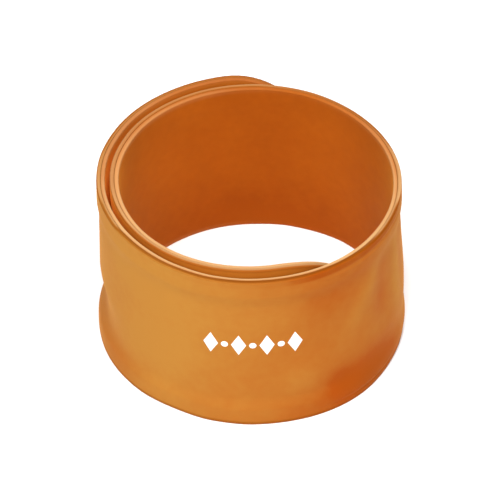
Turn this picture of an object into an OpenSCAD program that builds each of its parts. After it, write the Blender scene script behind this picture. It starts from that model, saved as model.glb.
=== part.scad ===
// Slap bracelet: a thin steel spring sealed between two silicone skins, curled up as it clasps a wrist.
// The coil stands on its lower rim. +Z is its axis, and the origin is the middle of its footprint.
// Every piece is made flat, as lines that run round the band at a set inset from its edge, and each line
// is then rolled up along the coil.

/* [Band] */
// Length of the whole band from tip to tip
band_len = 245; // [230:1:255]
// Width of the band, which is the height of the coil
band_w = 30; // [26:0.5:34]
// Thickness of the band, both skins and the spring together
band_t = 1.3; // [1.2:0.05:1.6]

/* [Coil] */
// Radius of the coil at the front, to the seam between the skins
coil_r = 20.9; // [20:0.1:26]
// How far the band moves outward in one turn
coil_pitch = 2.48; // [2.4:0.01:3.2]
// Length of the band's inner end that lies before the front
inner_lead = 19.3; // [15:0.1:40]

/* [Edges] */
// Width of the soft silicone margin on each side of the spring
margin = 5.5; // [4.5:0.5:6.5]
// Depth to which the middle of the band lies inside its rims
sink = 0.35; // [0:0.05:0.4]
// Rounding of the rim's corner on the outer skin
outer_round = 0.32; // [0.1:0.02:0.4]
// Rounding of the rim's corner on the inner skin
inner_round = 0.2; // [0.1:0.02:0.4]
// Width of the fine groove where the two skins meet at the rim
seam_w = 0.16; // [0.08:0.02:0.2]
// Depth of that groove
seam_depth = 0.2; // [0.1:0.02:0.4]

/* [Spring] */
// Thickness of the spring strip
spring_t = 0.2; // [0.15:0.05:0.25]
// Room left round the faces of the spring
spring_room = 0.06; // [0.04:0.01:0.08]

/* [Hidden] */

end_r = band_w / 2;
half_t = band_t / 2;
skin_gap = 0.04;
pocket_half = spring_t / 2 + spring_room;
pocket_inset = margin + 0.3;
spring_inset = margin + 0.5;
middle_inset = band_w * 0.3;

// The straight part of the band starts where the round of its inner end stops
straight_from = end_r - inner_lead;
straight_to = band_len - inner_lead - end_r;

// Steps of the mesh along the straight part and along a quarter of a round end
STRAIGHT_STEPS = 72;
ROUND_STEPS = 6;
HALF_STEPS = 2 * ROUND_STEPS + STRAIGHT_STEPS;

// How the coil departs from an even one. The columns are the turn in degrees, how far the band stands
// outside the even coil, and how much wider it is at its lower rim than at its upper one, in mm.
AT_TURN = 0;
OFF_EVEN = 1;
SPREAD = 2;
COIL_SHAPE = [
    [-180, -0.20, 0.50],
    [0, -0.20, 0.50],
    [112, 0.30, 0.42],
    [180, -0.15, 0.65],
    [225, -0.05, 1.20],
    [270, 0.16, 0.95],
    [320, 0.29, 1.05],
    [360, 0.20, 0.74],
    [425, -0.20, 0.92],
    [448, -0.14, 0.72],
    [468, -0.08, 0.15],
    [495, 0.02, 0.20],
    [600, 0.10, 0.30],
];

// Soft swells and hollows that use has pressed into the band. The columns are the turn in degrees, the
// height as a share of the width, the rise outward in mm, the reach along the turn in degrees and the
// reach up and down as a share of the width.
TURN = 0;
HEIGHT = 1;
RISE = 2;
TURN_REACH = 3;
HEIGHT_REACH = 4;
SOFT_FORMS = [
    [285, 0.27, 0.45, 70, 0.42],
    [450, 0.26, -0.75, 42, 0.17],
    [90, 0.26, -0.40, 42, 0.17],
    [311, 0.62, 0.16, 10, 0.45],
    [298, 0.58, -0.16, 10, 0.30],
    [335, 0.30, 0.12, 16, 0.20],
];

// Falls smoothly from 1 at 0 to 0 at 1 and beyond
function bell(x) = abs(x) >= 1 ? 0 : (1 + cos(180 * x)) / 2;

// Rises smoothly from 0 to 1 while x goes from a to b
function ease(x, a, b) = x <= a ? 0 : x >= b ? 1 : (1 - cos(180 * (x - a) / (b - a))) / 2;

// Turn in degrees at a length along the band, counted from the front
function turn_at(len) =
    let (growth = coil_pitch / (2 * PI))
    (sqrt(coil_r ^ 2 + 2 * growth * len) - coil_r) / growth * 180 / PI;

// Value of a column of the coil's table at a turn, running smoothly from row to row
function coil_shape(turn, column) =
    let (
        rows = [for (row = COIL_SHAPE) if (row[AT_TURN] <= turn) row],
        a = rows[len(rows) - 1],
        b = COIL_SHAPE[min(len(rows), len(COIL_SHAPE) - 1)]
    )
    a[column] + (b[column] - a[column]) * ease(turn, a[AT_TURN], b[AT_TURN]);

// Radius of the seam at a turn, at a share of the height
function seam_r(turn, height) =
    coil_r + coil_pitch * turn / 360 + coil_shape(turn, OFF_EVEN) + coil_shape(turn, SPREAD) * (1 - height);

// How far one soft form moves the band outward at a turn and a height
function form_rise(form, turn, z) =
    form[RISE] * bell((turn - form[TURN]) / form[TURN_REACH])
    * bell((z / band_w - form[HEIGHT]) / form[HEIGHT_REACH]);

// All soft forms together
function soft_rise(turn, z) = [for (form = SOFT_FORMS) form_rise(form, turn, z)] * [for (form = SOFT_FORMS) 1];

// Radius of the bent band at a turn, a height and an inset from its edge
function band_r(turn, z, inset) =
    seam_r(turn, z / band_w) - sink * ease(inset, margin / 2, margin)
    + soft_rise(turn, z) * ease(inset, 0, margin / 2);

// Rolls up a point of the flat band: its length, its height, its inset and its distance from the seam
function roll(len, z, inset, out) =
    let (turn = turn_at(len), r = band_r(turn, z, inset) + out)
    [-r * sin(turn), -r * cos(turn), z];

// Furthest that the band reaches from the axis at a turn
function reach(turn) = max([for (z = [0 : 0.5 : band_w]) band_r(turn, z, min(z, band_w - z))]);

// The coil's axis, placed so that the middle of the footprint is the origin
FRONT = 360;
LEFT = 450;
BACK = 540;
RIGHT = 270;
axis_place = [(reach(LEFT) - reach(RIGHT)) / 2, (reach(FRONT) - reach(BACK)) / 2, 0];

// Flat place of a step on the lower half of a line that runs round the band at an inset
function lower_place(step, inset) =
    let (r = end_r - inset)
    step < ROUND_STEPS ?
        let (a = 90 * step / ROUND_STEPS) [straight_from - r * cos(a), end_r - r * sin(a)]
    : step > HALF_STEPS - ROUND_STEPS ?
        let (a = 90 * (HALF_STEPS - step) / ROUND_STEPS) [straight_to + r * cos(a), end_r - r * sin(a)]
    : let (share = (step - ROUND_STEPS) / STRAIGHT_STEPS)
        [straight_from + (straight_to - straight_from) * share, inset];

// One closed line round the band, rolled up: inner tip, lower edge, outer tip, upper edge
function ring(inset, out) = [
    for (step = [0 : 2 * HALF_STEPS - 1])
        let (
            upper = step > HALF_STEPS,
            place = lower_place(upper ? 2 * HALF_STEPS - step : step, inset),
            z = upper ? band_w - place[1] : place[1]
        )
        roll(place[0], z, inset, out)
];

// Closed solid through lines of [inset, distance from the seam]. Its first and last lines are closed by
// strips that run straight up from the lower edge to the upper one.
module rolled(lines) {
    count = 2 * HALF_STEPS;
    last = (len(lines) - 1) * count;
    points = [for (line = lines) each ring(line[0], line[1])];
    walls = [
        for (row = [0 : len(lines) - 2], i = [0 : count - 1])
            let (a = row * count + i, b = row * count + (i + 1) % count)
            [a, b, b + count, a + count]
    ];
    first_face = [
        for (i = [0 : HALF_STEPS - 1])
            let (up = count - i)
            i == 0 ? [0, count - 1, 1]
            : i == HALF_STEPS - 1 ? [i, up, i + 1]
            : [i, up, up - 1, i + 1]
    ];
    last_face = [
        for (i = [0 : HALF_STEPS - 1])
            let (up = count - i)
            i == 0 ? [last, last + 1, last + count - 1]
            : i == HALF_STEPS - 1 ? [last + i, last + i + 1, last + up]
            : [last + i, last + i + 1, last + up - 1, last + up]
    ];
    translate(axis_place)
        polyhedron(points = points, faces = concat(walls, first_face, last_face), convexity = 8);
}

// Lines of a skin on the outer side of the seam: the pocket, the land where the skins meet, the rim and
// the face. The skin on the inner side takes them with the distances turned round.
function skin_lines(rim_round) = [
    [middle_inset, pocket_half],
    [pocket_inset, pocket_half],
    [margin, skin_gap / 2],
    [margin / 2, skin_gap / 2],
    [seam_depth, skin_gap / 2],
    [0, seam_w / 2],
    [0, half_t - rim_round],
    [rim_round * 0.3, half_t - rim_round * 0.3],
    [rim_round, half_t],
    [margin * 0.45, half_t],
    [margin * 0.75, half_t],
    [margin, half_t],
    [margin * 1.35, half_t],
    [middle_inset, half_t],
    [band_w * 0.42, half_t],
];

SPRING_LINES = [
    [middle_inset, -spring_t / 2],
    [spring_inset, -spring_t / 2],
    [spring_inset, spring_t / 2],
    [middle_inset, spring_t / 2],
];

module outer_skin() {
    color([0.80, 0.42, 0.13]) rolled(skin_lines(outer_round));
}

module inner_skin() {
    lines = skin_lines(inner_round);
    turned = [for (i = [len(lines) - 1 : -1 : 0]) [lines[i][0], -lines[i][1]]];
    color([0.72, 0.35, 0.10]) rolled(turned);
}

module spring_strip() {
    color([0.72, 0.74, 0.76]) rolled(SPRING_LINES);
}

outer_skin();
inner_skin();
spring_strip();
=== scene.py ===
"""Slap bracelet, curled up on its lower rim: two silicone skins sealed round a spring strip.

The band is built flat, with its length along X, its height along Y and the distance from the seam between
the skins along Z, all in millimetres. Each mesh is then rolled up along the coil, which puts it in metres.
"""

from __future__ import annotations

import logging
import math
from dataclasses import astuple, dataclass, field
from enum import Enum
from typing import Self

import bmesh
import bpy
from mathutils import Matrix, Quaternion, Vector

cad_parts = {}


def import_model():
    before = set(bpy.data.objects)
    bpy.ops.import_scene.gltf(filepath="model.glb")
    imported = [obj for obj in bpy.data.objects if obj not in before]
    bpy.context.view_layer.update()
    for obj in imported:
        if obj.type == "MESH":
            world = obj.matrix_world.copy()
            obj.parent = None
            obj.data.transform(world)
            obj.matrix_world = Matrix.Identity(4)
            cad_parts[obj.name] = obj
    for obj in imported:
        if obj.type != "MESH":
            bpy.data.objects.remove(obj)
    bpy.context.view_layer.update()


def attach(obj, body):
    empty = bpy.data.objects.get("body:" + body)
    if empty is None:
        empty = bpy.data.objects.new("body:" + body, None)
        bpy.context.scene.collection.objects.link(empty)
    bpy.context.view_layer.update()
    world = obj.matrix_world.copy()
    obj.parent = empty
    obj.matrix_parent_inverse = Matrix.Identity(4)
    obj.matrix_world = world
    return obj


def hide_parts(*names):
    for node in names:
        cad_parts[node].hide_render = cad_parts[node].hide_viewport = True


LOG = logging.getLogger("slap_bracelet")
MM = 0.001
# Points of the flat band that lie this close count as one
SAME_PLACE_MM = 0.001
# Digits after the point to which lengths along the band are told apart
LENGTH_DIGITS = 4
Z_AXIS = Vector((0.0, 0.0, 1.0))
Color = tuple[float, float, float, float]
Span = tuple[float, float]


def bell(x: float) -> float:
    """Fall smoothly from 1 at 0 to 0 at 1 and beyond.

    Args:
        x: Distance from the middle, as a share of the reach.

    Returns:
        A share from 0 to 1.
    """
    return 0.0 if abs(x) >= 1 else (1 + math.cos(math.pi * x)) / 2


def ease(x: float, start: float, end: float) -> float:
    """Rise smoothly from 0 to 1 while x goes from start to end.

    Args:
        x: Where the value is asked for.
        start: Where the rise starts.
        end: Where the rise ends.

    Returns:
        A share from 0 to 1.
    """
    if x <= start:
        return 0.0
    if x >= end:
        return 1.0
    return (1 - math.cos(math.pi * (x - start) / (end - start))) / 2


@dataclass(frozen=True)
class TurnRow:
    """A row of a table whose values run smoothly from turn to turn."""

    turn: float

    @classmethod
    def at(cls, rows: tuple[Self, ...], turn: float) -> Self:
        """Read a table at a turn.

        Args:
            rows: The table, in the order of its turns.
            turn: Turn in degrees.

        Returns:
            The row that the table has at that turn.
        """
        before = [row for row in rows if row.turn <= turn]
        a = before[-1]
        b = rows[min(len(before), len(rows) - 1)]
        share = ease(turn, a.turn, b.turn)
        return cls(*(x + (y - x) * share for x, y in zip(astuple(a), astuple(b))))


@dataclass(frozen=True)
class CoilRow(TurnRow):
    """How the coil departs from an even one, how much wider it is at its lower rim and how swollen."""

    off_even: float
    spread: float
    swell: float = 0.0


@dataclass(frozen=True)
class EdgeRow(TurnRow):
    """How the band's edge is marked: shares from 0 to 1, and a distance from the seam in millimetres.

    The rim is pale from the inner face out to pale_to: partly worn, partly a painted highlight. A dark line
    of painted shade follows it, and below that a dark shoulder of painted shade may lie on the outer face.
    """

    inner_pale: float
    outer_pale: float
    pale_to: float
    seam: float
    line: float
    shoulder: float


@dataclass(frozen=True)
class ShareRow(TurnRow):
    """A share from 0 to 1, such as how light a skin's face is: partly its own colour, partly painted light
    and shade.
    """

    share: float


@dataclass(frozen=True)
class Spot:
    """A soft spot on the band: a swell or a hollow, or a lighter or a deeper patch of painted light and
    shade.

    Its amount is a rise in millimetres or a share of tone. Its place along the turn moves by lean degrees
    over the width of the band.
    """

    turn: float
    height: float
    amount: float
    turn_reach: float
    height_reach: float
    lean: float = 0.0

    def is_near(self, turn: float) -> bool:
        """Tell whether the spot can be felt at a turn."""
        return abs(turn - self.turn) < self.turn_reach + abs(self.lean) * self.height_reach

    def amount_at(self, turn: float, height: float) -> float:
        """Give what the spot adds at a place.

        Args:
            turn: Turn in degrees.
            height: Height as a share of the band's width.

        Returns:
            The spot's amount there.
        """
        up = height - self.height
        along = turn - self.turn - self.lean * up
        return self.amount * bell(along / self.turn_reach) * bell(up / self.height_reach)


@dataclass(frozen=True)
class Band:
    """Sizes of the flat band, in millimetres."""

    length: float = 243.9
    width: float = 30.0
    thickness: float = 1.3
    lead: float = 18.7
    margin: float = 5.5
    sink: float = 0.35
    seam_width: float = 0.10
    seam_depth: float = 0.2
    skin_gap: float = 0.04
    pocket_half: float = 0.16
    edge_relief: tuple[tuple[float, float, float], ...] = ((1.7, 0.10, 1.7), (6.8, -0.12, 2.6))

    @property
    def end_radius(self) -> float:
        """Radius of the round ends."""
        return self.width / 2

    @property
    def half(self) -> float:
        """Distance from the seam to either face."""
        return self.thickness / 2

    @property
    def straight_from(self) -> float:
        """Length at which the round of the inner end stops."""
        return self.end_radius - self.lead

    @property
    def straight_to(self) -> float:
        """Length at which the round of the outer end starts."""
        return self.length - self.lead - self.end_radius

    def inset(self, length: float, height: float) -> float:
        """Give the distance of a flat point from the band's edge.

        Args:
            length: Place along the band.
            height: Height above the lower edge.

        Returns:
            The inset in millimetres.
        """
        beyond = length - min(max(length, self.straight_from), self.straight_to)
        return self.end_radius - math.hypot(beyond, height - self.end_radius)


@dataclass(frozen=True)
class Station:
    """The coil at one turn, with what all its heights share."""

    band: Band
    turn: float
    upper_radius: float
    spread: float
    swell: float
    presses: tuple[Spot, ...]
    relief_share: float

    def radius(self, z: float, inset: float) -> float:
        """Give the radius of the bent band's seam surface.

        Args:
            z: Height in millimetres.
            inset: Distance from the band's edge in millimetres.

        Returns:
            The radius in millimetres.
        """
        band = self.band
        height = z / band.width
        pressed = sum(spot.amount_at(self.turn, height) for spot in self.presses)
        sunk = band.sink * ease(inset, band.margin / 2, band.margin)
        relief = sum(rise * bell((inset - middle) / reach) for middle, rise, reach in band.edge_relief)
        return (
            self.upper_radius
            + self.spread * (1 - height)
            - sunk
            + relief * self.relief_share
            + pressed * ease(inset, 0, band.margin / 2)
        )


@dataclass(frozen=True)
class Coil:
    """The curl of the band, and the rule that rolls flat points up along it."""

    band: Band = Band()
    radius: float = 20.9
    pitch: float = 2.48
    axis: tuple[float, float] = (0.270033, -0.294987)
    rows: tuple[CoilRow, ...] = (
        CoilRow(-180, -0.20, 0.50),
        CoilRow(0, -0.20, 0.50),
        CoilRow(60, 0.10, 0.44),
        CoilRow(112, 0.36, 0.34, 0.15),
        CoilRow(128, 0.44, 0.24, 0.15),
        CoilRow(156, 0.34, 0.23, 0.15),
        CoilRow(180, 0.21, 0.29, 0.10),
        CoilRow(197, 0.10, 0.58),
        CoilRow(225, -0.05, 1.20),
        CoilRow(270, 0.14, 0.87, 0.04),
        CoilRow(292, 0.22, 0.80),
        CoilRow(320, 0.29, 1.05),
        CoilRow(360, 0.14, 0.80),
        CoilRow(374, 0.06, 0.72),
        CoilRow(391, -0.16, 0.66),
        CoilRow(408, -0.28, 0.98),
        CoilRow(425, -0.25, 0.97),
        CoilRow(448, -0.06, 0.60, 0.05),
        CoilRow(468, 0.10, 0.10, 0.05),
        CoilRow(495, 0.32, 0.10),
        CoilRow(540, 0.36, 0.20),
        CoilRow(600, 0.36, 0.30),
    )
    presses: tuple[Spot, ...] = (
        Spot(285, 0.27, 0.45, 70, 0.42),
        Spot(450, 0.26, -1.08, 42, 0.20),
        Spot(90, 0.26, -0.40, 42, 0.17),
        Spot(311, 0.62, 0.16, 10, 0.45),
        Spot(298, 0.58, -0.16, 10, 0.30),
        Spot(335, 0.30, 0.12, 16, 0.20),
        Spot(313, 0.68, 0.16, 9, 0.34, -45),
        Spot(303, 0.54, -0.14, 8, 0.26),
        Spot(289, 0.62, 0.08, 6, 0.40),
        Spot(343, 0.27, 0.14, 12, 0.17),
        Spot(326, 0.19, -0.14, 9, 0.14),
        Spot(330, 0.80, -0.10, 14, 0.12),
        Spot(404, 0.70, 0.10, 30, 0.40),
        Spot(424, 0.14, -0.08, 26, 0.18),
        Spot(276, 0.52, 0.22, 28, 0.40),
    )
    beaded: tuple[Spot, ...] = (Spot(305, 0.5, 1.0, 42, 1.0), Spot(540, 0.5, 0.6, 60, 1.0))

    def turn_at(self, length: float) -> float:
        """Give the turn in degrees at a length along the band, counted from the front.

        Args:
            length: Length along the band in millimetres.

        Returns:
            The turn in degrees.
        """
        growth = self.pitch / math.tau
        return math.degrees((math.sqrt(self.radius ** 2 + 2 * growth * length) - self.radius) / growth)

    def length_at(self, turn: float) -> float:
        """Give the length along the band at a turn.

        Args:
            turn: Turn in degrees.

        Returns:
            The length in millimetres.
        """
        growth = self.pitch / math.tau
        angle = math.radians(turn)
        return self.radius * angle + growth * angle ** 2 / 2

    def station(self, turn: float) -> Station:
        """Work out what the whole height of the band shares at a turn.

        Args:
            turn: Turn in degrees.

        Returns:
            The coil at that turn.
        """
        shape = CoilRow.at(self.rows, turn)
        return Station(
            band=self.band,
            turn=turn,
            upper_radius=self.radius + self.pitch * turn / 360 + shape.off_even,
            spread=shape.spread,
            swell=1 + shape.swell,
            presses=tuple(spot for spot in self.presses if spot.is_near(turn)),
            relief_share=self.bead_share(turn),
        )

    def bead_share(self, turn: float) -> float:
        """Give how strongly the bead along the edge stands out at a turn."""
        return sum(spot.amount_at(turn, spot.height) for spot in self.beaded)

    def roll_up(self, bm: bmesh.types.BMesh) -> None:
        """Roll a flat mesh up along the coil, from millimetres to metres.

        Args:
            bm: The flat mesh, which is changed.
        """
        axis_x, axis_y = self.axis
        stations: dict[float, Station] = {}
        for vert in bm.verts:
            length, z, out = vert.co
            key = round(length, LENGTH_DIGITS)
            if key not in stations:
                stations[key] = self.station(self.turn_at(length))
            station = stations[key]
            r = station.radius(z, max(self.band.inset(length, z), 0.0)) + out * station.swell
            angle = math.radians(station.turn)
            vert.co = Vector((axis_x - r * math.sin(angle), axis_y - r * math.cos(angle), z)) * MM


class Side(Enum):
    """The side of the seam that a skin lies on."""

    OUTER = 1
    INNER = -1


def blend(
    tree: bpy.types.NodeTree,
    amount: bpy.types.NodeSocket,
    under: bpy.types.NodeSocket | Color,
    over: Color,
) -> bpy.types.NodeSocket:
    """Lay one colour over another.

    Args:
        tree: The material's node tree.
        amount: How much of the upper colour shows.
        under: The lower colour, as a socket or a value.
        over: The upper colour.

    Returns:
        The socket of the blended colour.
    """
    mix = tree.nodes.new("ShaderNodeMix")
    mix.data_type = "RGBA"
    colors = [socket for socket in mix.inputs if socket.type == "RGBA"]
    if isinstance(under, bpy.types.NodeSocket):
        tree.links.new(under, colors[0])
    else:
        colors[0].default_value = under
    colors[1].default_value = over
    tree.links.new(amount, mix.inputs["Factor"])
    return next(socket for socket in mix.outputs if socket.type == "RGBA")


def add_noise(
    tree: bpy.types.NodeTree, place: bpy.types.NodeSocket, per_metre: float, detail: float = 2.0
) -> bpy.types.NodeSocket:
    """Add a noise to a material.

    Args:
        tree: The material's node tree.
        place: The socket of the coordinates that the noise follows.
        per_metre: How fine the noise is.
        detail: How many finer layers it has.

    Returns:
        The socket of the noise, from 0 to 1.
    """
    noise = tree.nodes.new("ShaderNodeTexNoise")
    noise.inputs["Scale"].default_value = per_metre
    noise.inputs["Detail"].default_value = detail
    tree.links.new(place, noise.inputs["Vector"])
    return noise.outputs["Fac"]


def map_span(
    tree: bpy.types.NodeTree, value: bpy.types.NodeSocket, source: Span, target: Span
) -> bpy.types.NodeSocket:
    """Map one span of values to another, and keep what lies beyond at its ends.

    Args:
        tree: The material's node tree.
        value: The socket of the value.
        source: The span that the value is taken from.
        target: The span that it is brought to.

    Returns:
        The socket of the mapped value.
    """
    mapped = tree.nodes.new("ShaderNodeMapRange")
    for name, number in zip(("From Min", "From Max", "To Min", "To Max"), source + target):
        mapped.inputs[name].default_value = number
    tree.links.new(value, mapped.inputs["Value"])
    return mapped.outputs["Result"]


def compute(
    tree: bpy.types.NodeTree, operation: str, a: bpy.types.NodeSocket, b: bpy.types.NodeSocket | float
) -> bpy.types.NodeSocket:
    """Add a sum or a product to a material.

    Args:
        tree: The material's node tree.
        operation: ADD or MULTIPLY.
        a: The socket of the first value.
        b: The second value, as a socket or a number.

    Returns:
        The socket of the result.
    """
    node = tree.nodes.new("ShaderNodeMath")
    node.operation = operation
    tree.links.new(a, node.inputs[0])
    if isinstance(b, bpy.types.NodeSocket):
        tree.links.new(b, node.inputs[1])
    else:
        node.inputs[1].default_value = b
    return node.outputs["Value"]


def read_attribute(tree: bpy.types.NodeTree, name: str) -> bpy.types.NodeSocket:
    """Read one of the mesh's own attributes.

    Args:
        tree: The material's node tree.
        name: The attribute.

    Returns:
        The socket of its value.
    """
    node = tree.nodes.new("ShaderNodeAttribute")
    node.attribute_name = name
    return node.outputs["Fac"]


def add_relief(
    tree: bpy.types.NodeTree, height: bpy.types.NodeSocket, distance: float, strength: float
) -> None:
    """Give a finish a fine relief that is too low for the mesh.

    Args:
        tree: The material's node tree.
        height: The socket of the relief's height.
        distance: Its full height in metres.
        strength: How strongly it shows.
    """
    bump = tree.nodes.new("ShaderNodeBump")
    bump.inputs["Strength"].default_value = strength
    bump.inputs["Distance"].default_value = distance
    tree.links.new(height, bump.inputs["Height"])
    tree.links.new(bump.outputs["Normal"], tree.nodes["Principled BSDF"].inputs["Normal"])


@dataclass(frozen=True)
class Finish:
    """A finish with the settings that are the same all over a surface."""

    name: str

    def start(self, settings: dict[str, float | Color]) -> bpy.types.Material:
        """Make a material with plain settings on its shader.

        Args:
            settings: The value of each of the shader's sockets that isn't left as it is.

        Returns:
            The new material.
        """
        made = bpy.data.materials.new(self.name)
        made.use_nodes = True
        shader = made.node_tree.nodes["Principled BSDF"]
        for socket, value in settings.items():
            shader.inputs[socket].default_value = value
        return made


@dataclass(frozen=True)
class Silicone(Finish):
    """Matte moulded silicone: a soft sheen, a fine grain and faint clouds in its colour.

    The mesh's attributes say where the face is lighter or deeper, partly its own colour and partly painted
    light and shade; where its rim is pale, partly worn and partly a painted highlight; where it is darker,
    at the rim's top edge and as painted shade; where painted bounce light lies between two layers of the
    band; and where a painted glow lights the depth of the gap between them.
    """

    deep: Color
    light: Color
    # Pale tone of the rim: partly worn silicone, partly a painted highlight
    pale: Color = (0.57, 0.335, 0.145, 1.0)
    # Dark tone: the rim's darkened top edge, and painted shade in the crease and on the shoulder under the
    # rim, along the lower corner and in the darkest spots of the face
    dark: Color = (0.22, 0.052, 0.002, 1.0)
    # Painted bounce light in the gap between two layers of the band
    painted_bounce_light: Color = (0.97, 0.33, 0.030, 1.0)
    # Colour and strength of a painted glow in the depth of the gap between the layers
    painted_glow_color: Color = (1.0, 0.24, 0.010, 1.0)
    painted_glow_strength: float = 0.05
    shine: float = 0.03
    shine_tint: Color = (1.0, 0.55, 0.20, 1.0)
    sheen: float = 0.25
    sheen_roughness: float = 0.35
    sheen_tint: Color = (1.0, 0.50, 0.08, 1.0)
    roughness: Span = (0.56, 0.68)
    noise_span: Span = (0.3, 0.7)
    cloud_per_metre: float = 70.0
    cloud_share: float = 0.12
    mottle_per_metre: float = 700.0
    mottle_share: float = 0.05
    pattern_detail: float = 3.0
    grain_per_metre: float = 5200.0
    grain_height: float = 0.00002
    grain_strength: float = 0.35

    def material(self) -> bpy.types.Material:
        """Make the finish as a node material.

        Returns:
            The new material.
        """
        made = self.start({
            "Specular IOR Level": self.shine,
            "Specular Tint": self.shine_tint,
            "Sheen Weight": self.sheen,
            "Sheen Roughness": self.sheen_roughness,
            "Sheen Tint": self.sheen_tint,
            "Emission Color": self.painted_glow_color,
        })
        tree = made.node_tree
        shader = tree.nodes["Principled BSDF"]
        place = tree.nodes.new("ShaderNodeTexCoord").outputs["Object"]
        clouds = add_noise(tree, place, self.cloud_per_metre, self.pattern_detail)
        mottle = add_noise(tree, place, self.mottle_per_metre, self.pattern_detail)
        grain = add_noise(tree, place, self.grain_per_metre)
        # The face's tone, lighter or deeper: partly the silicone's own colour, partly painted light and
        # shade; the clouds and mottle are its own colour
        share = read_attribute(tree, "fade_and_light_share")
        for pattern, amount in ((clouds, self.cloud_share), (mottle, self.mottle_share)):
            uneven = map_span(tree, pattern, self.noise_span, (-amount, amount))
            share = compute(tree, "ADD", share, uneven)
        color = blend(tree, share, self.deep, self.light)
        # Painted bounce light in the gap, then the darker rim edge and painted shade, then the pale rim:
        # partly worn, partly a painted highlight
        for attribute, tone in (("painted_bounce_light", self.painted_bounce_light), ("dark_rim_and_painted_shade", self.dark), ("pale", self.pale)):
            color = blend(tree, read_attribute(tree, attribute), color, tone)
        tree.links.new(color, shader.inputs["Base Color"])
        # A painted glow in the depth of the gap between the layers
        strength = compute(tree, "MULTIPLY", read_attribute(tree, "painted_glow"), self.painted_glow_strength)
        tree.links.new(strength, shader.inputs["Emission Strength"])
        rough = map_span(tree, clouds, (0.0, 1.0), self.roughness)
        tree.links.new(rough, shader.inputs["Roughness"])
        add_relief(tree, grain, self.grain_height, self.grain_strength)
        return made


@dataclass(frozen=True)
class Ink(Finish):
    """White screen ink, a little chalky, through which the silicone's grain shows."""

    name: str = "white_ink"
    color: Color = (0.90, 0.88, 0.85, 1.0)
    worn: Color = (0.86, 0.80, 0.72, 1.0)
    roughness: float = 0.5
    blot_per_metre: float = 2200.0
    worn_span: Span = (0.5, 0.8)
    relief_height: float = 0.00001
    relief_strength: float = 0.3

    def material(self) -> bpy.types.Material:
        """Make the finish as a node material.

        Returns:
            The new material.
        """
        made = self.start({"Roughness": self.roughness})
        tree = made.node_tree
        place = tree.nodes.new("ShaderNodeTexCoord").outputs["Object"]
        blots = add_noise(tree, place, self.blot_per_metre)
        worn = map_span(tree, blots, self.worn_span, (0.0, 1.0))
        color = blend(tree, worn, self.color, self.worn)
        tree.links.new(color, tree.nodes["Principled BSDF"].inputs["Base Color"])
        add_relief(tree, blots, self.relief_height, self.relief_strength)
        return made


@dataclass(frozen=True)
class SpringSteel(Finish):
    """Bare spring steel, brushed along the strip."""

    name: str = "bare_spring_steel"
    dark: Color = (0.42, 0.44, 0.46, 1.0)
    bright: Color = (0.60, 0.62, 0.64, 1.0)
    roughness: float = 0.32
    brush_per_metre: float = 4000.0
    brush_stretch: tuple[float, float, float] = (0.02, 0.02, 1.0)

    def material(self) -> bpy.types.Material:
        """Make the finish as a node material.

        Returns:
            The new material.
        """
        made = self.start({"Metallic": 1.0, "Roughness": self.roughness})
        tree = made.node_tree
        stretch = tree.nodes.new("ShaderNodeMapping")
        stretch.inputs["Scale"].default_value = self.brush_stretch
        place = tree.nodes.new("ShaderNodeTexCoord").outputs["Object"]
        tree.links.new(place, stretch.inputs["Vector"])
        brush = add_noise(tree, stretch.outputs["Vector"], self.brush_per_metre)
        color = blend(tree, brush, self.dark, self.bright)
        tree.links.new(color, tree.nodes["Principled BSDF"].inputs["Base Color"])
        return made


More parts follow.
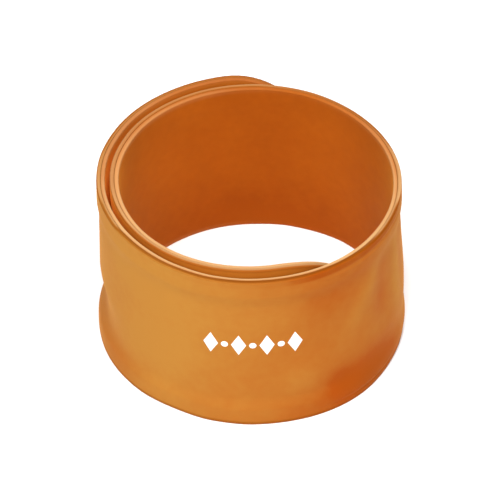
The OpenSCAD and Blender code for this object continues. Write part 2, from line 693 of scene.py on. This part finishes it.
@dataclass
class Piece:
    """A piece of the bracelet that is modelled flat and then rolled up."""

    name: str
    coil: Coil
    straight_steps: int = field(default=360, kw_only=True)
    end_steps: int = field(default=40, kw_only=True)
    sharp_angle: float = field(default=40.0, kw_only=True)

    def draw_section(
        self, bm: bmesh.types.BMesh, corners: tuple[tuple[float, float, int], ...]
    ) -> list[bmesh.types.BMVert | bmesh.types.BMEdge]:
        """Draw half a section of the band, from its centre line out to the edge and back.

        Args:
            bm: The mesh to draw in.
            corners: Inset and distance from the seam of each corner, and the rows that follow it.

        Returns:
            The vertices and edges of the section.
        """
        start = self.coil.band.straight_from
        verts = [bm.verts.new((start, inset, out)) for inset, out, _ in corners]
        edges = [bm.edges.new(pair) for pair in zip(verts, verts[1:])]
        for edge, (_, _, rows) in zip(edges, corners):
            if rows > 1:
                bmesh.ops.subdivide_edges(bm, edges=[edge], cuts=rows - 1)
        return list(bm.verts) + list(bm.edges)

    def sweep(self, bm: bmesh.types.BMesh, section: list[bmesh.types.BMVert | bmesh.types.BMEdge]) -> None:
        """Carry the section along the lower edge, round the outer end, back and round the inner end.

        Args:
            bm: The mesh that holds the section.
            section: The section's vertices and edges.
        """
        band = self.coil.band
        straight = band.straight_to - band.straight_from
        legs = (
            (straight, 0.0, band.straight_to, 1),
            (0.0, math.pi, band.straight_to, self.end_steps),
            (-straight, 0.0, band.straight_from, 1),
            (0.0, math.pi, band.straight_from, self.end_steps),
        )
        for step, angle, centre, steps in legs:
            swept = bmesh.ops.spin(
                bm,
                geom=section,
                cent=(centre, band.end_radius, 0.0),
                axis=Z_AXIS,
                dvec=(step, 0.0, 0.0),
                angle=angle,
                steps=steps,
                use_merge=False,
            )
            section = swept["geom_last"]
        bmesh.ops.remove_doubles(bm, verts=bm.verts, dist=SAME_PLACE_MM)
        lengthwise = [edge for edge in bm.edges if edge.calc_length() > straight / 2]
        bmesh.ops.subdivide_edges(bm, edges=lengthwise, cuts=self.straight_steps - 1, use_grid_fill=True)

    def finish_mesh(self, bm: bmesh.types.BMesh, material: bpy.types.Material) -> bpy.types.Object:
        """Roll a flat mesh up and turn it into a finished object.

        Args:
            bm: The flat mesh, which is freed.
            material: Its finish.

        Returns:
            The object, at the origin, riding on the bracelet's body.
        """
        self.coil.roll_up(bm)
        bmesh.ops.recalc_face_normals(bm, faces=bm.faces)
        for face in bm.faces:
            face.smooth = True
        mesh = bpy.data.meshes.new(self.name)
        bm.to_mesh(mesh)
        bm.free()
        mesh.set_sharp_from_angle(angle=math.radians(self.sharp_angle))
        mesh.materials.append(material)
        made = bpy.data.objects.new(self.name, mesh)
        bpy.context.scene.collection.objects.link(made)
        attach(made, "root")
        return made


@dataclass(frozen=True)
class EdgeWearAndPaintedLight:
    """What moulding and use have left along the band's edge, with the painted highlight on the rim and the
    painted shade below it and along the lower corner.

    A span holds two distances in millimetres between which a tone comes in or goes out. Those with inset
    in their name are counted from the band's edge. The pale_end, line_start and line_end are counted
    outward from where the rim stops being pale, and the others outward from the seam.
    """

    marks: tuple[EdgeRow, ...] = (
        EdgeRow(-60, 0.85, 0.80, 0.35, 0.1, 0.3, 0.0),
        EdgeRow(50, 0.85, 0.80, 0.35, 0.1, 0.3, 0.0),
        EdgeRow(75, 0.75, 0.60, 0.50, 0.2, 0.2, 0.0),
        EdgeRow(90, 0.62, 0.42, 0.60, 0.2, 0.1, 0.0),
        EdgeRow(110, 0.50, 0.40, 0.60, 0.5, 0.1, 0.0),
        EdgeRow(128, 0.38, 0.35, 0.60, 0.8, 0.1, 0.0),
        EdgeRow(156, 0.25, 0.35, 0.60, 0.9, 0.1, 0.0),
        EdgeRow(180, 0.10, 0.45, 0.60, 1.0, 0.0, 0.0),
        EdgeRow(200, 0.05, 0.15, 0.40, 0.3, 0.5, 0.0),
        EdgeRow(225, 0.12, 0.10, 0.30, 0.0, 0.6, 0.0),
        EdgeRow(245, 0.30, 0.25, 0.35, 0.2, 0.8, 0.0),
        EdgeRow(262, 0.50, 0.70, 0.65, 0.7, 0.0, 0.0),
        EdgeRow(275, 0.65, 0.75, 0.60, 0.4, 0.2, 0.2),
        EdgeRow(290, 0.80, 0.80, 0.30, 0.2, 0.8, 0.7),
        EdgeRow(310, 0.88, 0.88, 0.00, 0.0, 0.9, 0.9),
        EdgeRow(335, 1.0, 1.0, -0.12, 0.0, 0.9, 0.8),
        EdgeRow(352, 1.0, 1.0, -0.15, 0.0, 0.9, 0.1),
        EdgeRow(415, 0.95, 0.9, -0.10, 0.0, 0.8, 0.0),
        EdgeRow(432, 0.80, 0.7, 0.25, 0.3, 0.7, 0.0),
        EdgeRow(442, 0.70, 0.7, 0.40, 0.5, 0.6, 0.0),
        EdgeRow(455, 0.45, 0.38, 0.45, 0.25, 0.4, 0.0),
        EdgeRow(475, 0.38, 0.30, 0.30, 0.2, 0.6, 0.0),
        EdgeRow(490, 0.30, 0.20, 0.10, 0.0, 0.7, 0.0),
        EdgeRow(515, 0.15, 0.10, 0.25, 0.0, 0.7, 0.0),
        EdgeRow(600, 0.05, 0.05, 0.40, 0.0, 0.8, 0.0),
    )
    top_inset: Span = (0.08, 0.30)
    # Darkening of the rim's top edge, which the pale tone covers where it is high
    rim_top_darkening: float = 0.3
    seam_reach: float = 0.28
    inner_pale_share: float = 0.6
    inner_pale_inset: Span = (0.2, 1.2)
    pale_end: Span = (-0.06, 0.12)
    # A dark line of painted shade along the lower corner
    lower_line: float = 0.7
    lower_line_inset: Span = (0.35, 0.9)
    lower_line_start: Span = (0.1, 0.4)
    # A dark line of painted shade in the crease below the pale rim
    line_inset: Span = (0.15, 0.45)
    line_start: Span = (0.0, 0.1)
    line_end: Span = (0.5, 0.75)
    # A darker, deeper shoulder of painted shade below the rim
    shoulder_start: Span = (0.2, 0.5)
    shoulder_inset: Span = (0.9, 1.38)
    shoulder_painted_shade: float = 0.25

    def tones(self, row: EdgeRow, inset: float, out: float, is_upper: bool) -> tuple[float, float, float]:
        """Work out the tones of a point near the edge.

        Args:
            row: The edge's marks at the point's turn.
            inset: Distance from the band's edge in millimetres.
            out: Distance from the seam in millimetres, positive on the outer side.
            is_upper: Whether the point lies on the upper half.

        Returns:
            How pale (worn and painted highlight), how dark (the rim's top edge and painted shade) and how
            much deeper in colour (painted shade on the shoulder) the point is.
        """
        on_top = 1 - ease(inset, *self.top_inset)
        # The rim's top edge is darkened
        dark_rim_and_painted_shade = self.rim_top_darkening * on_top
        # The pale rim, partly worn and partly a painted highlight, cut where the seam's groove lies
        if out < 0:
            below = self.inner_pale_share * (1 - ease(inset, *self.inner_pale_inset))
            pale = row.inner_pale * max(on_top, below)
        else:
            pale = row.outer_pale * on_top
        beyond = out - row.pale_to
        pale *= (1 - ease(beyond, *self.pale_end)) * (1 - row.seam * bell(out / self.seam_reach))
        if not is_upper:
            # Painted shade along the lower corner
            line = (1 - ease(inset, *self.lower_line_inset)) * ease(out, *self.lower_line_start)
            return pale, max(dark_rim_and_painted_shade, self.lower_line * line), 0.0
        # A dark line of painted shade in the crease below the pale rim
        line = ease(beyond, *self.line_start) * (1 - ease(beyond, *self.line_end))
        line *= 1 - ease(inset, *self.line_inset)
        # A darker, deeper shoulder of painted shade below the rim
        shoulder = row.shoulder * ease(out, *self.shoulder_start) * (1 - ease(inset, *self.shoulder_inset))
        return pale, max(dark_rim_and_painted_shade, row.line * line, self.shoulder_painted_shade * shoulder), shoulder


@dataclass
class Skin(Piece):
    """One silicone skin: its face, its half of the rim and the pocket for the spring."""

    side: Side
    node: str
    slot: str
    finish: Silicone
    corner_round: float
    # Per turn, how light the face is: partly the silicone's own colour, partly painted light and shade
    fade_and_light_rows: tuple[ShareRow, ...]
    # Per turn, how much painted bounce light and painted glow lie in the gap between the layers
    glow: tuple[ShareRow, ...]
    # Painted light and shade of folds and of the lower part, as soft spots
    painted_light_and_shade_spots: tuple[Spot, ...] = ()
    corner_segments: int = 6
    seam_round: float = 0.03
    lip_inset: float = 4.0
    bead_inset: float = 1.8
    edge_inset: float = 0.62
    pocket_slope: float = 0.3
    face_rows: int = 14
    lip_rows: int = 11
    bead_rows: int = 10
    land_rows: int = 4
    pocket_rows: int = 6
    groove_inset: float = 1.35
    groove_reach: float = 0.55
    groove_depth: float = 0.12
    fill: float = 0.0
    # Where the painted bounce light lies: distance from the seam and inset
    glow_start: Span = (0.25, 0.3)
    glow_inset: Span = (0.1, 0.4)
    # Where the painted glow lies, by inset
    painted_glow_inset: Span = (0.6, 2.4)
    painted_glow_end_inset: Span = (8.0, 14.0)
    # How far painted shade darkens past the deepest tone
    painted_shade_darkening: float = 0.6
    # Painted highlight and painted shade along the edge, with its worn pale rim
    edge_wear_and_painted_light: EdgeWearAndPaintedLight = EdgeWearAndPaintedLight()

    @property
    def section_corners(self) -> tuple[tuple[float, float, int], ...]:
        """Inset, distance from the seam and rows: the face, the rim, the land and the pocket."""
        band = self.coil.band
        middle = band.end_radius
        sign = self.side.value
        corners = (
            (middle, band.half, self.face_rows),
            (self.lip_inset, band.half, self.lip_rows),
            (self.bead_inset, band.half, self.bead_rows),
            (self.edge_inset, band.half, 2),
            (0.0, band.half, 1),
            (0.0, band.seam_width / 2, 1),
            (band.seam_depth, band.skin_gap / 2, self.land_rows),
            (band.margin, band.skin_gap / 2, 1),
            (band.margin + self.pocket_slope, band.pocket_half, self.pocket_rows),
            (middle, band.pocket_half, 1),
        )
        return tuple((inset, sign * out, rows) for inset, out, rows in corners)

    def round_corners(self, bm: bmesh.types.BMesh) -> None:
        """Round the rim's outer corner and the lip of the seam groove.

        Args:
            bm: The flat mesh.
        """
        band = self.coil.band
        rounds = (
            (band.half, self.corner_round, self.corner_segments),
            (band.seam_width / 2, self.seam_round, 2),
        )
        for distance, offset, segments in rounds:
            corner = [edge for edge in bm.edges if self.on_rim(edge, distance)]
            bmesh.ops.bevel(
                bm,
                geom=corner,
                offset=offset,
                offset_type="OFFSET",
                segments=segments,
                profile=0.5,
                affect="EDGES",
                material=-1,
                clamp_overlap=True,
            )

    def on_rim(self, edge: bmesh.types.BMEdge, distance: float) -> bool:
        """Tell whether an edge runs along the rim at a distance from the seam.

        Args:
            edge: An edge of the flat mesh.
            distance: The distance from the seam in millimetres.

        Returns:
            True if both of its ends lie there.
        """
        close = 2 * SAME_PLACE_MM
        return all(
            abs(abs(vert.co.z) - distance) < close and self.coil.band.inset(vert.co.x, vert.co.y) < close
            for vert in edge.verts
        )

    def shape_face(self, bm: bmesh.types.BMesh) -> None:
        """Press the shallow groove that sets the edge's bead off, and fill the face up where it isn't sunk.

        Args:
            bm: The flat mesh.
        """
        band = self.coil.band
        for vert in bm.verts:
            if abs(vert.co.z) < band.half - 10 * SAME_PLACE_MM:
                continue
            inset = band.inset(vert.co.x, vert.co.y)
            share = self.coil.bead_share(self.coil.turn_at(vert.co.x))
            depth = share * self.groove_depth * bell((inset - self.groove_inset) / self.groove_reach)
            depth += self.fill * band.sink * ease(inset, band.margin / 2, band.margin)
            vert.co.z -= self.side.value * depth

    def mark_tones(self, bm: bmesh.types.BMesh) -> None:
        """Store the tones of each point in attributes for the finish.

        Args:
            bm: The flat mesh.
        """
        band = self.coil.band
        # Face tone with painted light and shade, pale rim with painted highlight, darker rim edge with
        # painted shade, painted bounce light and painted glow
        names = ("fade_and_light_share", "pale", "dark_rim_and_painted_shade", "painted_bounce_light", "painted_glow")
        for name in names:
            bm.verts.layers.float.new(name)
        layers = [bm.verts.layers.float[name] for name in names]
        marks: dict[float, tuple[float, EdgeRow, float, float]] = {}
        for vert in bm.verts:
            length, z, out = vert.co
            key = round(length, LENGTH_DIGITS)
            if key not in marks:
                turn = self.coil.turn_at(length)
                edge = EdgeRow.at(self.edge_wear_and_painted_light.marks, turn)
                fade_and_light, glow = (ShareRow.at(rows, turn).share for rows in (self.fade_and_light_rows, self.glow))
                marks[key] = turn, edge, fade_and_light, glow
            turn, edge, fade_and_light, glow = marks[key]
            inset = max(band.inset(length, z), 0.0)
            # Painted light and shade of folds and of the lower part
            fade_and_light += sum(spot.amount_at(turn, z / band.width) for spot in self.painted_light_and_shade_spots if spot.is_near(turn))
            pale, dark_rim_and_painted_shade, deepened = self.edge_wear_and_painted_light.tones(edge, inset, out, z > band.end_radius)
            # Painted shade darker than the deepest tone
            dark_rim_and_painted_shade = max(dark_rim_and_painted_shade, -self.painted_shade_darkening * fade_and_light)
            fade_and_light *= 1 - deepened
            # Painted bounce light in the gap between the layers
            glow *= ease(abs(out), *self.glow_start) * ease(inset, *self.glow_inset)
            # A painted glow deeper in the gap
            through = glow ** 2 * ease(inset, *self.painted_glow_inset)
            through *= 1 - ease(inset, *self.painted_glow_end_inset)
            for layer, value in zip(layers, (fade_and_light, pale, dark_rim_and_painted_shade, glow, through)):
                vert[layer] = value

    def build(self) -> bpy.types.Object:
        """Build the skin and let it stand for its solid.

        Returns:
            The finished skin.
        """
        bm = bmesh.new()
        self.sweep(bm, self.draw_section(bm, self.section_corners))
        self.round_corners(bm)
        self.shape_face(bm)
        self.mark_tones(bm)
        made = self.finish_mesh(bm, self.finish.material())
        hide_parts(self.node)
        return made


@dataclass
class SpringStrip(Piece):
    """The hidden steel strip that makes the band snap into a coil."""

    finish: SpringSteel = SpringSteel()
    node: str = "spring_strip"
    slot: str = "spring_steel"
    inset: float = 6.0
    thickness: float = 0.2
    rows: int = 8

    def build(self) -> bpy.types.Object:
        """Build the strip and let it stand for its solid.

        Returns:
            The finished strip.
        """
        middle = self.coil.band.end_radius
        half = self.thickness / 2
        corners = (
            (middle, -half, self.rows),
            (self.inset, -half, 1),
            (self.inset, half, self.rows),
            (middle, half, 1),
        )
        bm = bmesh.new()
        self.sweep(bm, self.draw_section(bm, corners))
        made = self.finish_mesh(bm, self.finish.material())
        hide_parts(self.node)
        return made


@dataclass
class PrintedRow(Piece):
    """A row of tall diamonds and dots printed on the outer face, at the front."""

    finish: Ink = Ink()
    middle_turn: float = 360.3
    middle_height: float = 16.8
    pitch: float = 2.15
    count: int = 7
    dot_radius: float = 0.55
    diamond_height: float = 4.1
    diamond_width: float = 2.3
    thickness: float = 0.05
    lift: float = 0.03
    edge_round: float = 0.02
    sliced_height: float = 4.0
    slice_step: float = 0.4

    def build(self) -> bpy.types.Object:
        """Build the row as thin raised ink.

        Returns:
            The printed row.
        """
        bm = bmesh.new()
        middle = self.coil.length_at(self.middle_turn)
        for index in range(self.count):
            is_dot = index % 2 == 1
            drawn = bmesh.ops.create_circle(
                bm,
                cap_ends=True,
                segments=24 if is_dot else 4,
                radius=self.dot_radius if is_dot else self.diamond_height / 2,
            )
            width = 1.0 if is_dot else self.diamond_width / self.diamond_height
            offset = (index - (self.count - 1) / 2) * self.pitch
            bmesh.ops.scale(bm, verts=drawn["verts"], vec=(width, 1.0, 1.0))
            bmesh.ops.translate(bm, verts=drawn["verts"], vec=(middle + offset, self.middle_height, 0.0))
        lifted = bmesh.ops.extrude_face_region(bm, geom=list(bm.faces))
        top = [item for item in lifted["geom"] if isinstance(item, bmesh.types.BMVert)]
        bmesh.ops.translate(bm, verts=top, vec=(0.0, 0.0, self.thickness))
        rim = [edge for edge in bm.edges if all(vert.co.z > self.thickness / 2 for vert in edge.verts)]
        bmesh.ops.bevel(
            bm,
            geom=rim,
            offset=self.edge_round,
            offset_type="OFFSET",
            segments=2,
            profile=0.5,
            affect="EDGES",
            material=-1,
        )
        self.slice_up(bm, middle)
        base = self.coil.band.half + self.lift - self.thickness
        bmesh.ops.translate(bm, verts=bm.verts, vec=(0.0, 0.0, base))
        bmesh.ops.triangulate(bm, faces=bm.faces)
        return self.finish_mesh(bm, self.finish.material())

    def slice_up(self, bm: bmesh.types.BMesh, middle: float) -> None:
        """Cut the shapes across and along, so that they can bend with the band.

        Args:
            bm: The flat mesh.
            middle: Length at the row's middle.
        """
        row_width = (self.count - 1) * self.pitch + self.diamond_width
        spans = (
            (Vector((1.0, 0.0, 0.0)), middle, row_width),
            (Vector((0.0, 1.0, 0.0)), self.middle_height, self.sliced_height),
        )
        for direction, centre, size in spans:
            cuts = round(size / self.slice_step)
            for cut in range(1, cuts):
                place = centre + size * (cut / cuts - 0.5)
                geometry = [*bm.verts, *bm.edges, *bm.faces]
                bmesh.ops.bisect_plane(bm, geom=geometry, plane_co=direction * place, plane_no=direction)


@dataclass
class Bracelet:
    """The whole slap bracelet."""

    coil: Coil = field(default_factory=Coil)
    outer_silicone: Silicone = Silicone(
        name="outer_orange_silicone",
        deep=(0.345, 0.063, 0.004, 1.0),
        light=(0.430, 0.184, 0.031, 1.0),
    )
    # A deeper, redder copy of the silicone: painted shade and bounce light inside the coil
    inner_silicone: Silicone = Silicone(
        name="deep_orange_silicone",
        deep=(0.345, 0.066, 0.004, 1.0),
        light=(0.62, 0.155, 0.009, 1.0),
    )

    def outer_skin(self) -> Skin:
        """Lay out the skin on the outer side, lighter on its left and darker on its right: partly its own
        colour, partly painted light and shade.

        Returns:
            The skin, ready to be built.
        """
        return Skin(
            name="outer_face_skin",
            coil=self.coil,
            side=Side.OUTER,
            node="outer_skin",
            slot="outer_silicone",
            finish=self.outer_silicone,
            corner_round=0.24,
            # Painted bounce light in the gap, by turn
            glow=(
                ShareRow(-60, 0.3),
                ShareRow(50, 0.4),
                ShareRow(90, 1.0),
                ShareRow(150, 0.5),
                ShareRow(205, 0.0),
            ),
            # How light the face is by turn, lighter on the left: partly the silicone's own colour, partly
            # painted light
            fade_and_light_rows=(
                ShareRow(-60, 0.3),
                ShareRow(270, 0.4),
                ShareRow(330, 0.4),
                ShareRow(400, 1.0),
                ShareRow(450, 0.7),
                ShareRow(600, 0.3),
            ),
            # Painted light and shade of the folds on the right, of the lower corners and of the lower part
            # all round, and a lighter patch at the upper left
            painted_light_and_shade_spots=(
                Spot(310, 0.11, -0.70, 31, 0.30),
                Spot(326, 0.20, -0.25, 9, 0.15),
                Spot(342, 0.27, 0.22, 13, 0.17),
                Spot(303, 0.54, -0.28, 7, 0.18),
                Spot(301, 0.74, -0.10, 5, 0.25),
                Spot(313, 0.68, 0.28, 9, 0.34, -45),
                Spot(289, 0.58, 0.35, 7, 0.45),
                Spot(324, 0.84, -0.14, 14, 0.20, -40),
                Spot(337, 0.81, -0.10, 6, 0.10),
                Spot(412, 0.82, 0.15, 28, 0.25),
                Spot(422, 0.10, -0.22, 30, 0.18),
                Spot(360, 0.0, -0.12, 400, 0.45),
            ),
        )

    def inner_skin(self) -> Skin:
        """Lay out the skin that lies on the wrist, in a deeper, redder copy of the silicone: painted shade
        and bounce light of the coil's inside.

        Returns:
            The skin, ready to be built.
        """
        return Skin(
            name="inner_face_skin",
            coil=self.coil,
            side=Side.INNER,
            node="inner_skin",
            slot="inner_silicone",
            finish=self.inner_silicone,
            corner_round=0.22,
            groove_depth=0.0,
            fill=1.0,
            # Painted bounce light and painted glow in the gap, by turn
            glow=(
                ShareRow(-60, 0.0),
                ShareRow(314, 0.0),
                ShareRow(400, 0.3),
                ShareRow(450, 1.0),
                ShareRow(490, 0.5),
                ShareRow(520, 0.3),
                ShareRow(600, 0.2),
            ),
            # How light the inside is by turn: painted light and shade of the coil's inside
            fade_and_light_rows=(
                ShareRow(-60, 0.3),
                ShareRow(30, 0.45),
                ShareRow(90, 1.0),
                ShareRow(120, 0.6),
                ShareRow(180, 0.29),
                ShareRow(240, 0.5),
                ShareRow(270, 0.65),
                ShareRow(310, 0.4),
                ShareRow(600, 0.3),
            ),
            # Painted shade, darker towards the bottom of the inside
            painted_light_and_shade_spots=(Spot(180, 0.0, -0.42, 170, 0.6),),
        )

    def build(self) -> list[bpy.types.Object]:
        """Build every piece.

        Returns:
            The new pieces.
        """
        spring = SpringStrip(name="hidden_spring_strip", coil=self.coil, straight_steps=180, end_steps=24)
        row = PrintedRow(name="printed_row", coil=self.coil)
        return [piece.build() for piece in (self.outer_skin(), self.inner_skin(), spring, row)]


@dataclass(frozen=True)
class SoftBox:
    """A rectangular lamp that faces the bracelet."""

    name: str
    place: tuple[float, float, float]
    size: float
    power: float
    color: tuple[float, float, float] = (1.0, 1.0, 1.0)

    def build(self, target: Vector) -> None:
        """Make the lamp.

        Args:
            target: The point that it faces.
        """
        lamp = bpy.data.lights.new(self.name, "AREA")
        lamp.size = self.size
        lamp.energy = self.power
        lamp.color = self.color
        made = bpy.data.objects.new(self.name, lamp)
        made.location = self.place
        made.rotation_mode = "QUATERNION"
        made.rotation_quaternion = (target - made.location).to_track_quat("-Z", "Y")
        bpy.context.scene.collection.objects.link(made)


@dataclass
class Studio:
    """The pale floor, the soft lights and the camera."""

    floor_size: float = 3.0
    floor_color: Color = (0.96, 0.96, 0.96, 1.0)
    floor_roughness: float = 0.9
    floor_shine: float = 0.1
    sky: Color = (1.0, 1.0, 1.0, 1.0)
    sky_strength: float = 0.22
    lamps: tuple[SoftBox, ...] = (
        SoftBox("front", (-0.12, -0.60, 0.66), 0.4, 3.8),
        SoftBox("top", (0.0, -0.20, 0.83), 0.25, 6.2),
        SoftBox("left", (-0.62, -0.42, 0.36), 0.45, 1.4),
        SoftBox("right", (0.62, -0.42, 0.36), 0.45, 1.4),
        SoftBox("back", (0.10, 0.70, 0.45), 0.45, 1.5),
    )
    distance: float = 600.0
    elevation: float = 42.97
    roll: float = -0.48
    focal_px: float = 3740.0
    axis_px: tuple[float, float] = (252.29, 247.64)
    image_px: float = 500.0
    sensor: float = 36.0
    clip: Span = (0.05, 10.0)

    def build_floor(self) -> None:
        """Make the floor that the bracelet stands on."""
        bm = bmesh.new()
        bmesh.ops.create_grid(bm, x_segments=1, y_segments=1, size=self.floor_size / 2)
        mesh = bpy.data.meshes.new("floor")
        bm.to_mesh(mesh)
        bm.free()
        finish = Finish("pale_floor").start({
            "Base Color": self.floor_color,
            "Roughness": self.floor_roughness,
            "Specular IOR Level": self.floor_shine,
        })
        mesh.materials.append(finish)
        floor = bpy.data.objects.new("floor", mesh)
        bpy.context.scene.collection.objects.link(floor)

    def build_light(self, aim_height: float) -> None:
        """Set the even light of the room and the lamps.

        Args:
            aim_height: Height in metres of the point that the lamps face.
        """
        world = bpy.data.worlds.new("studio")
        world.use_nodes = True
        background = world.node_tree.nodes["Background"]
        background.inputs["Color"].default_value = self.sky
        background.inputs["Strength"].default_value = self.sky_strength
        bpy.context.scene.world = world
        for lamp in self.lamps:
            lamp.build(Z_AXIS * aim_height)
        bpy.context.scene.view_settings.view_transform = "Standard"

    def build_camera(self, coil: Coil) -> None:
        """Make the camera at the photograph's viewing angle.

        Args:
            coil: The coil, on whose axis the camera is set.
        """
        lens = bpy.data.cameras.new("camera")
        lens.sensor_width = self.sensor
        lens.lens = self.focal_px / self.image_px * self.sensor
        middle = (self.image_px - 1) / 2
        lens.shift_x = (middle - self.axis_px[0]) / self.image_px
        lens.shift_y = (self.axis_px[1] - middle) / self.image_px
        lens.clip_start, lens.clip_end = self.clip
        camera = bpy.data.objects.new("camera", lens)
        tilt = math.radians(self.elevation)
        back = Vector((0.0, -math.cos(tilt), math.sin(tilt)))
        axis_x, axis_y = coil.axis
        target = Vector((axis_x, axis_y, coil.band.width / 2)) * MM
        camera.location = target + back * self.distance * MM
        camera.rotation_mode = "QUATERNION"
        level = (-back).to_track_quat("-Z", "Y")
        camera.rotation_quaternion = level @ Quaternion(Z_AXIS, math.radians(self.roll))
        bpy.context.scene.collection.objects.link(camera)
        bpy.context.scene.camera = camera

    def build(self, coil: Coil) -> None:
        """Build the floor, the lights and the camera.

        Args:
            coil: The coil that the camera looks at.
        """
        self.build_floor()
        self.build_light(coil.band.width / 2 * MM)
        self.build_camera(coil)


def main() -> None:
    """Load the frame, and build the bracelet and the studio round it."""
    logging.basicConfig(level=logging.INFO, format="%(name)s: %(message)s")
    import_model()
    bracelet = Bracelet()
    Studio().build(bracelet.coil)
    for piece in bracelet.build():
        LOG.info("built %s with %d faces", piece.name, len(piece.data.polygons))


if __name__ == "__main__":
    main()
